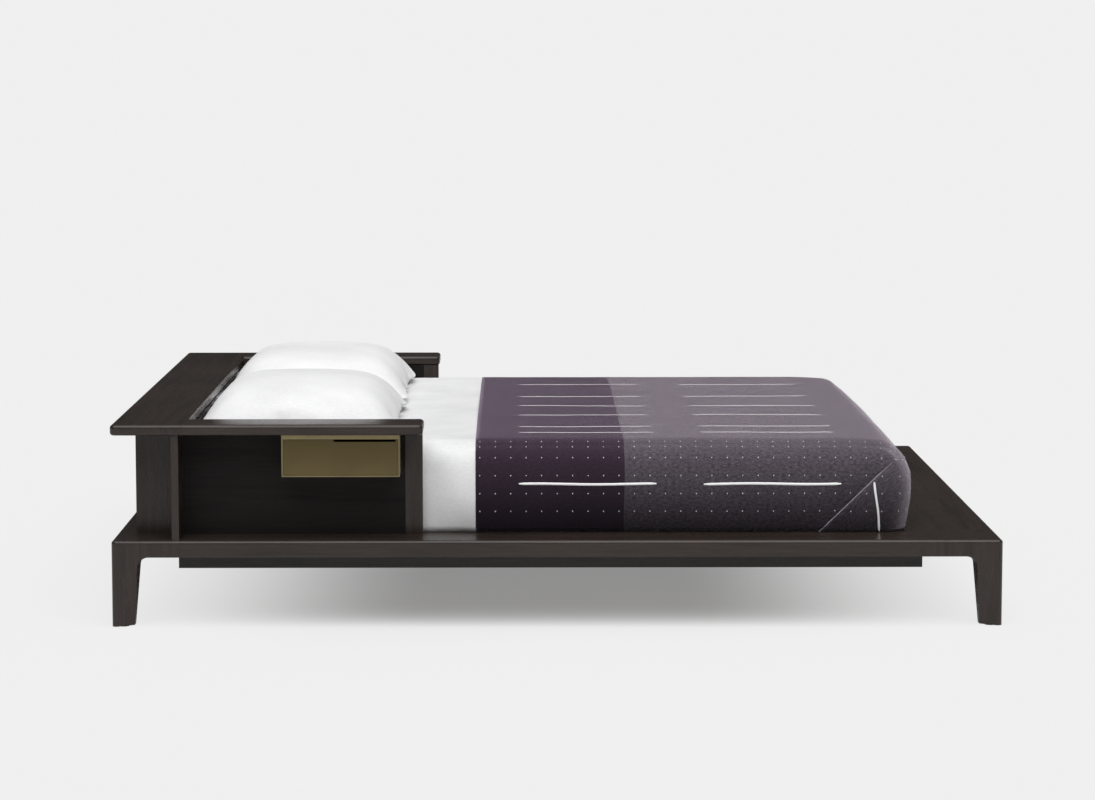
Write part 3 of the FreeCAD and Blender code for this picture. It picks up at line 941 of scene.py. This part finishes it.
    def foot_wrap(self, cloth: Material) -> Piece:
        """The outer layer at the foot, with its slanting folded edges.

        Args:
            cloth: The cloth's material.

        Returns:
            The layer.
        """
        tall = self.fold_top
        share = self.wrap_edge_share
        mesh = bmesh.new()
        bmesh.ops.create_grid(mesh, x_segments=self.wrap_columns, y_segments=self.wrap_rows,
                              size=1.0)
        layer = mesh.loops.layers.uv.new("flat")
        for vert in mesh.verts:
            across = (vert.co.x + 1.0) / 2.0
            height = (vert.co.y + 1.0) / 2.0 * tall
            length = self.wrap_length(height)
            edge_pull = 0.5 - 0.5 * math.cos(math.pi * across)
            along = length * ((1.0 - share) * across + share * edge_pull)
            for loop in vert.link_loops:
                loop[layer].uv = (self.high.x + tall - height, self.low.y + along)
            lift = self.fold_lift(height, min(along, length - along))
            vert.co = self.lie(self.wrap_point(along, height), lift)
        bmesh.ops.recalc_face_normals(mesh, faces=mesh.faces)
        out = [f for f in mesh.faces if f.calc_center_median().x > self.high.x - 0.02]
        if out and sum(f.normal.x for f in out) < 0:
            bmesh.ops.reverse_faces(mesh, faces=mesh.faces)
        piece = finish_piece(mesh, "throw_foot_fold", [cloth])
        thicken(piece, self.wrap_lift * 0.8)
        return piece

    def fold_lift(self, height: float, gap: float = 1.0) -> float:
        """How far the folded foot layer stands off the cloth under it.

        Args:
            height: Height above the lower hem.
            gap: Distance from the layer's own side edge.

        Returns:
            The distance, a little under zero at the layer's top, where it sinks in.
        """
        settle = clamp((1.0 - height / self.fold_top) / self.fold_fade)
        rise = self.wrap_lift * (1.0 - math.exp(-gap / self.fold_edge)) + self.fold_clear
        return rise * settle - self.fold_sink * (1.0 - settle)

    def covered_by_fold(self, p: Vector) -> bool:
        """Whether a side point lies under the folded foot layer."""
        height = p.z - self.low.z
        return height < self.fold_top and p.x > self.head + self.fold_from_head + height

    def dots(self, thread: Material) -> Piece:
        """Small stitches in rows down the sides and the foot end.

        Args:
            thread: The thread's material.

        Returns:
            The stitches.
        """
        mesh = bmesh.new()
        spots: List[Tuple[Vector, float]] = []
        start = self.low.x + self.dot_start
        count = int((self.high.x - start) / self.dot_pitch) + 1
        for height in self.dot_rows:
            z = self.low.z + height
            lifted = max(self.fold_lift(height), 0.0)
            for i in range(count):
                for y in (self.low.y, self.high.y):
                    p = Vector((start + i * self.dot_pitch, y, z))
                    spots.append((p, lifted if self.covered_by_fold(p) else 0.0))
            for i in range(int((self.high.y - self.low.y) / self.dot_pitch)):
                p = Vector((self.high.x, self.low.y + (i + 0.5) * self.dot_pitch, z))
                spots.append((p, lifted))
        for i in range(count):
            for y in (self.low.y + self.dot_inset, self.high.y - self.dot_inset):
                spots.append((Vector((start + i * self.dot_pitch, y, self.high.z)), 0.0))
        for p, lift in spots:
            under = lift == 0.0
            where = self.lie(p, lift + self.dot_clear, under)
            out = (self.lie(p, lift + 0.01, under) - where).normalized()
            turn = out.to_track_quat("Z", "Y").to_matrix().to_4x4()
            tilt = Matrix.Rotation(0.5 * creases(p, 21.0, 0.02), 4, "Z")
            sized = Matrix.Diagonal((*self.dot_size, 1.0))
            bmesh.ops.create_icosphere(mesh, subdivisions=1, radius=1.0,
                                       matrix=Matrix.Translation(where) @ turn @ tilt @ sized)
        return finish_piece(mesh, "throw_dot_stitches", [thread])

    def ridge(self, mesh: Mesh, start: Vector, end: Vector, across: Vector,
              width: float, height: float, lift: float = 0.0, parts: int = 26) -> None:
        """Add one raised line of stitching between two points of the sharp block.

        Args:
            mesh: Where to add it.
            start: First point.
            end: Last point.
            across: Unit direction across the line.
            width: Full width.
            height: Rise of its middle.
            lift: Extra distance off the cloth.
            parts: Pieces along its length.
        """
        made = bmesh.ops.create_grid(mesh, x_segments=parts, y_segments=6, size=1.0)
        for vert in made["verts"]:
            share = (vert.co.x + 1.0) / 2.0
            side = vert.co.y
            taper = min(1.0, min(share, 1.0 - share) * parts * 1.2 + 0.55)
            p = start.lerp(end, share) + across * (side * width * 0.5 * taper)
            dome = math.sqrt(max(0.0, 1.0 - side * side)) * height * taper
            wave = 0.0012 * math.sin(share * 7.0 + start.x * 9.0 + start.y * 5.0)
            vert.co = self.lie(p + across * wave, lift + dome - 0.0003)

    def lines(self, thread: Material) -> Piece:
        """Long white stitched lines on the sides, the top and the folded corners.

        Args:
            thread: The thread's material.

        Returns:
            The lines.
        """
        mesh = bmesh.new()
        z = self.low.z + self.line_height
        for start in self.line_starts:
            x0 = self.head + start
            x1 = x0 + self.line_length
            for y in (self.low.y, self.high.y):
                self.ridge(mesh, Vector((x0, y, z)), Vector((x1, y, z)), UP, *self.bold_line)
            for y in self.top_lines:
                self.ridge(mesh, Vector((x0, y, self.high.z)), Vector((x1, y, self.high.z)),
                           SIDEWAYS, *self.fine_line)
        fold_x = self.head + self.fold_from_head
        for y in (self.low.y, self.high.y):
            top, foot = (Vector((fold_x + along, y, self.low.z + height))
                         for along, height in (self.fold_line_top, self.fold_line_foot))
            self.ridge(mesh, top, foot, ALONG, *self.bold_line, self.wrap_lift, 14)
        bmesh.ops.recalc_face_normals(mesh, faces=mesh.faces)
        return finish_piece(mesh, "throw_line_stitches", [thread])

    def seam(self, cloth: Material) -> Piece:
        """Low raised seam where the two cloths meet.

        Args:
            cloth: The cloth's material.

        Returns:
            The seam.
        """
        mesh = bmesh.new()
        x = self.head + self.seam_from_head
        top, low = self.high.z, self.low.z + 0.001
        corners = [Vector((x, y, z)) for y, z in ((self.low.y, low), (self.low.y, top),
                                                  (self.high.y, top), (self.high.y, low))]
        for start, end, parts in zip(corners, corners[1:], (20, 120, 20)):
            self.ridge(mesh, start, end, ALONG, *self.seam_size, 0.0, parts)
        bmesh.ops.recalc_face_normals(mesh, faces=mesh.faces)
        return finish_piece(mesh, "throw_seam", [cloth])


@dataclass
class Pillows:
    """Two feather pillows in plain cotton cases, from one case inflated by cloth simulation."""

    size: Triple = (0.576, 0.870, 0.145)
    spare: float = 1.10
    corner_draw: float = 0.165
    droop: float = 0.62
    fold: float = 0.0085
    fullness: float = 0.72
    head_reach: float = 0.009
    gap: float = 0.016
    columns: int = 44
    rows: int = 66
    pressure: float = 5.0
    frames: int = 11
    underside: float = 0.42
    crease_along: Triple = (2.2, 9.0, 4.0)
    crease_across: Triple = (10.0, 2.0, 4.0)

    def flat_case(self) -> Mesh:
        """Two flat panels joined round the edge, about the origin.

        Returns:
            The case's bmesh.
        """
        mesh = bmesh.new()
        bmesh.ops.create_grid(mesh, x_segments=self.columns, y_segments=self.rows, size=0.5)
        wide, long, _ = (v * self.spare for v in self.size)
        bmesh.ops.scale(mesh, vec=(wide, long, 1.0), verts=mesh.verts)
        for vert in mesh.verts:
            x, y = abs(vert.co.x) / wide * 2.0, abs(vert.co.y) / long * 2.0
            vert.co.x *= 1.0 - self.corner_draw * y ** 3
            vert.co.y *= 1.0 - self.corner_draw * 0.7 * x ** 3
        bmesh.ops.translate(mesh, vec=(0, 0, self.gap / 2), verts=mesh.verts)
        copy = bmesh.ops.duplicate(mesh, geom=mesh.verts[:] + mesh.edges[:] + mesh.faces[:])
        verts = [g for g in copy["geom"] if isinstance(g, bmesh.types.BMVert)]
        faces = [g for g in copy["geom"] if isinstance(g, bmesh.types.BMFace)]
        bmesh.ops.translate(mesh, vec=(0, 0, -self.gap), verts=verts)
        bmesh.ops.reverse_faces(mesh, faces=faces)
        rim = [e for e in mesh.edges if e.is_boundary]
        bmesh.ops.bridge_loops(mesh, edges=rim)
        layer = mesh.loops.layers.uv.new("flat")
        for face in mesh.faces:
            for loop in face.loops:
                p = loop.vert.co
                loop[layer].uv = (p.x, p.y + (3.0 if face.normal.z < 0 else 0.0))
        for vert in mesh.verts:
            vert.co.z += 0.0012 * creases(vert.co, 5.0, 0.09)
        bmesh.ops.recalc_face_normals(mesh, faces=mesh.faces)
        return mesh

    def inflate(self, case: Piece) -> None:
        """Blow the case up with the cloth simulation and keep the result.

        Args:
            case: The flat case.
        """
        scene = bpy.context.scene
        cloth = case.modifiers.new("inflate", "CLOTH")
        values = {"quality": 5, "mass": 0.25, "tension_stiffness": 18.0,
                  "compression_stiffness": 18.0, "shear_stiffness": 6.0,
                  "bending_stiffness": 0.4, "use_pressure": True,
                  "uniform_pressure_force": self.pressure}
        for key, value in values.items():
            setattr(cloth.settings, key, value)
        cloth.settings.effector_weights.gravity = 0.0
        cloth.point_cache.frame_start = 1
        cloth.point_cache.frame_end = self.frames
        for number in range(1, self.frames + 1):
            scene.frame_set(number)
        graph = bpy.context.evaluated_depsgraph_get()
        settled = bpy.data.meshes.new_from_object(case.evaluated_get(graph))
        case.modifiers.clear()
        old = case.data
        case.data = settled
        bpy.data.meshes.remove(old)
        scene.frame_set(1)

    def swell(self, case: Piece) -> None:
        """Args:
            case: The flat case.
        """
        for vert in case.data.vertices:
            x = 1.0 - (vert.co.x / self.size[0] / self.spare * 2.0) ** 2
            y = 1.0 - (vert.co.y / self.size[1] / self.spare * 2.0) ** 2
            vert.co.z *= 1.0 + 9.0 * math.sqrt(max(x, 0.0) * max(y, 0.0))

    def settle(self, mesh: Mesh, node: str, turn: float) -> None:
        """Flatten the underside and fit the pillow to its place.

        Args:
            mesh: The inflated pillow.
            node: The CAD pillow it takes the place of.
            turn: How far it is turned about the upright axis.
        """
        low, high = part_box(node)
        low.x -= self.head_reach
        bmesh.ops.rotate(mesh, cent=(0, 0, 0), verts=mesh.verts,
                         matrix=Matrix.Rotation(turn, 3, "Z"))
        bmesh.ops.smooth_vert(mesh, verts=mesh.verts, factor=0.5, use_axis_x=True,
                              use_axis_y=True, use_axis_z=True)
        deepest = min(v.co.z for v in mesh.verts)
        for vert in mesh.verts:
            if vert.co.z < 0:
                share = min(vert.co.z / deepest * 1.25, 1.0)
                vert.co.z = deepest * self.underside * math.sin(share * math.pi / 2)
        reach = max(abs(v.co.x) for v in mesh.verts), max(abs(v.co.y) for v in mesh.verts)
        floor = deepest * self.underside
        for vert in mesh.verts:
            out = max(abs(vert.co.x) / reach[0], abs(vert.co.y) / reach[1], 0.01)
            push = out ** (self.fullness - 1.0)
            vert.co.x *= push
            vert.co.y *= push
            x, y = abs(vert.co.x) / reach[0], abs(vert.co.y) / reach[1]
            drop = self.droop * min(x ** 6 + y ** 6, 1.0)
            vert.co.z = floor + (vert.co.z - floor) * (1.0 - drop)
            along, across = (Vector((vert.co.x * size[0], vert.co.y * size[1],
                                     vert.co.z * size[2]))
                             for size in (self.crease_along, self.crease_across))
            vert.co.z += self.fold * (creases(along, 8.0, 1.0) * x ** 3
                                      + creases(across, 2.0, 1.0) * y ** 3)
        spans = [(min(v.co[a] for v in mesh.verts), max(v.co[a] for v in mesh.verts))
                 for a in range(3)]
        for vert in mesh.verts:
            for a in range(3):
                share = (vert.co[a] - spans[a][0]) / (spans[a][1] - spans[a][0])
                vert.co[a] = low[a] + share * (high[a] - low[a])

    def build(self) -> List[Piece]:
        """Make both pillows.

        Returns:
            The pillows.
        """
        cotton = PILLOW_COTTON.make()
        case = finish_piece(self.flat_case(), "pillow_case_pattern", [cotton])
        self.inflate(case)
        made = []
        for node, turn in (("pillow_near", 0.0), ("pillow_far", math.pi)):
            mesh = bmesh.new()
            mesh.from_mesh(case.data)
            self.settle(mesh, node, turn)
            piece = finish_piece(mesh, node + "_case", [cotton])
            smoother = piece.modifiers.new("smooth", "SUBSURF")
            smoother.levels = 1
            smoother.render_levels = 1
            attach(piece, BODY)
            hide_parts(node)
            made.append(piece)
        bpy.data.objects.remove(case)
        return made


# ---- studio
@dataclass
class Studio:
    """Pale floor and backdrop, one broad soft light from above the near side, and the camera."""

    tone: float = 0.868
    # shade_tone and end_shade_tone set the floor's glow to the camera: painted light that lightens
    # the shadow under the bed, more towards its ends.
    shade_tone: float = 0.27
    end_shade_tone: float = 0.76
    end_shade_run: Pair = (0.35, 1.22)
    floor_reach: float = 90.0
    floor_albedo: float = 0.80
    fill: float = 0.10
    sky_heights: Pair = (0.25, 0.9)
    sky_gains: Pair = (0.35, 3.0)
    camera_from_side: float = 8.805
    camera_across: float = -0.1118
    camera_height: float = 1.6023
    look_right: float = math.radians(0.542)
    look_down: float = math.radians(6.265)
    lens: float = 105.36
    sensor: float = 36.0
    sight: float = 200.0
    key_power: float = 3.15
    key_spread: float = math.radians(70.0)
    key_forward: float = math.radians(28.0)
    key_aside: float = math.radians(4.0)

    def build(self) -> None:
        """Make the floor, lights, world and camera."""
        self.floor()
        self.lights()
        self.camera()

    def floor(self) -> None:
        """A wide flat floor that glows to the camera, a painted light that keeps its shadows pale;
        the glow is painted strongest towards the bed's ends, so the shadow under the bed fades
        there.
        """
        mesh = bmesh.new()
        bmesh.ops.create_grid(mesh, x_segments=4, y_segments=4, size=self.floor_reach)
        bench = NodeBench.start("pale_floor")
        seen = bench.add("ShaderNodeLightPath").outputs["Is Camera Ray"]
        # Painted shadow: the camera sees the floor glow by this much, weakest under the middle of
        # the bed and strongest past its ends; the lit part is lowered to match.
        shade = bench.span(bench.math("ABSOLUTE", bench.distance("X")), self.shade_tone,
                           self.end_shade_tone, *self.end_shade_run, smooth=True)
        lit = bench.span(shade, self.floor_albedo, 0.0, 0.0, self.tone)
        bench.fix(Base_Color=bench.blend(seen, (self.floor_albedo,) * 3, lit),
                  Emission_Color=PLAIN, Emission_Strength=bench.math("MULTIPLY", seen, shade),
                  Roughness=0.95, Specular_IOR_Level=0.0)
        piece = finish_piece(mesh, "studio_floor", [bench.material], smooth=False)

    def lights(self) -> None:
        """Broad soft light from above and a little in front, and a pale world."""
        sun = bpy.data.lights.new("key", "SUN")
        sun.energy = self.key_power
        sun.angle = self.key_spread
        lamp = bpy.data.objects.new("key", sun)
        lamp.rotation_euler = Euler((self.key_forward, self.key_aside, 0.0))
        bpy.context.scene.collection.objects.link(lamp)
        world = bpy.data.worlds.new("studio_world")
        world.use_nodes = True
        tree = world.node_tree
        backing = tree.nodes["Background"]
        backing.inputs["Color"].default_value = (*PLAIN, 1.0)
        path, coord, split, rise, pick = (tree.nodes.new("ShaderNode" + kind) for kind in (
            "LightPath", "TexCoord", "SeparateXYZ", "MapRange", "Mix"))
        values = [*self.sky_heights, *(self.fill * gain for gain in self.sky_gains)]
        for key, value in zip(("From Min", "From Max", "To Min", "To Max"), values):
            rise.inputs[key].default_value = value
        pick.inputs["B"].default_value = self.tone
        for source, target in ((coord.outputs["Generated"], split.inputs["Vector"]),
                               (split.outputs["Z"], rise.inputs["Value"]),
                               (path.outputs["Is Camera Ray"], pick.inputs["Factor"]),
                               (rise.outputs["Result"], pick.inputs["A"]),
                               (pick.outputs["Result"], backing.inputs["Strength"])):
            tree.links.new(source, target)
        bpy.context.scene.world = world
        bpy.context.scene.view_settings.view_transform = "Standard"

    def camera(self) -> None:
        """The camera, square on to the near side and a little above the bed."""
        data = bpy.data.cameras.new("camera")
        data.lens = self.lens
        data.sensor_width = self.sensor
        data.clip_end = self.sight
        camera = bpy.data.objects.new("camera", data)
        camera.location = (self.camera_across, CAD_BOX[0].y - self.camera_from_side,
                           self.camera_height)
        camera.rotation_euler = Euler((math.pi / 2 - self.look_down, 0.0, -self.look_right))
        bpy.context.scene.collection.objects.link(camera)
        bpy.context.scene.camera = camera


def main() -> None:
    """Build the bed in order and report each piece."""
    Studio().build()
    Carpentry().dress()
    LOG.info("made %s", Mattress().build().name)
    LOG.info("made %s", FittedSheet().build().name)
    LOG.info("made %s", Blanket().build().name)
    for pillow in Pillows().build():
        LOG.info("made %s", pillow.name)


if __name__ == "__main__":
    main()
